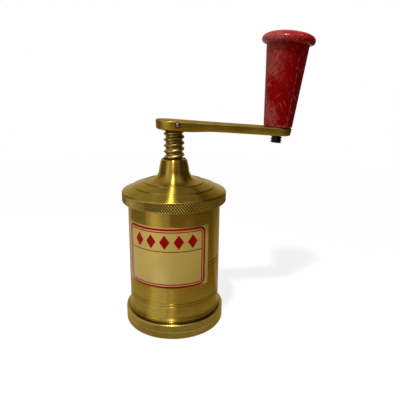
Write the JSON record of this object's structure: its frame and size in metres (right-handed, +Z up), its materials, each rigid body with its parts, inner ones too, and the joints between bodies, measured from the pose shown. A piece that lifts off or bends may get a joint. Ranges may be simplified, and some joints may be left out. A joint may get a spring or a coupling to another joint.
{
  "type": "hand coffee mill",
  "caption": "Squat turned brass hand mill: knurled foot cup, drum, stepped lid with a tall neck, coarse screw spindle, flat crank arm and red turning grip.",
  "frame": {"origin": "centre of the face it stands on, on the spindle's axis", "axes": "+Z up along the spindle, +X along the crank arm as drawn"},
  "size_m": [0.1086, 0.06, 0.1675],
  "materials": {
    "brass_knurled": "turned and knurled",
    "brass_turned": "fine turning marks",
    "brass_worn": "plain turned",
    "brass_thread": "cut thread",
    "brass_arm": "filed and brushed",
    "steel": "bright",
    "black_steel": "blackened",
    "red_grip": "worn and scuffed",
    "label_foil": "satin foil",
    "felt": "pressed felt"
  },
  "bodies": {
    "base": {"base_cup": "brass_knurled"},
    "drum": {"barrel": "brass_turned", "label": "label_foil", "grinding_plate": "brass_worn", "plate_teeth": "steel", "plate_dowels": "steel", "plate_ring": "brass_worn"},
    "cap": {"lid": "brass_knurled", "feed_nut": "brass_worn", "nut_screws": "steel"},
    "follower": {"wiper_washer": "felt"},
    "crank": {"spindle": "brass_thread", "grinding_head": "brass_worn", "head_teeth": "steel", "head_key": "steel", "head_washer": "steel", "head_nut": "steel", "crank_arm": "brass_arm", "arm_grub": "steel", "grip_washer": "steel", "handle_bolt": "black_steel", "bolt_washer": "steel"},
    "grip": {"handle_grip": "red_grip"}
  },
  "joints": [
    {"name": "cup_release", "type": "slide", "parent": "base", "child": "drum", "axis": [0, 0, 1], "range_m": [0, 0.04]},
    {"name": "lid_lift", "type": "slide", "parent": "drum", "child": "cap", "axis": [0, 0, 1], "range_m": [0, 0.09]},
    {"name": "spindle_feed", "type": "slide", "parent": "cap", "child": "follower", "axis": [0, 0, 1], "range_m": [-0.0149, 0.0298]},
    {"name": "crank_turn", "type": "hinge", "parent": "follower", "child": "crank", "pos_m": [0, 0, 0.0471], "axis": [0, 0, 1], "range_deg": [-1620, 3240]},
    {"name": "grip_spin", "type": "hinge", "parent": "crank", "child": "grip", "pos_m": [0.06065, 0, 0.11506], "axis": [0.0698, 0, 0.9976], "continuous": true}
  ],
  "couplings": [
    {"joint": "spindle_feed", "follows": "crank_turn", "m_per_rad": 0.00052521}
  ]
}
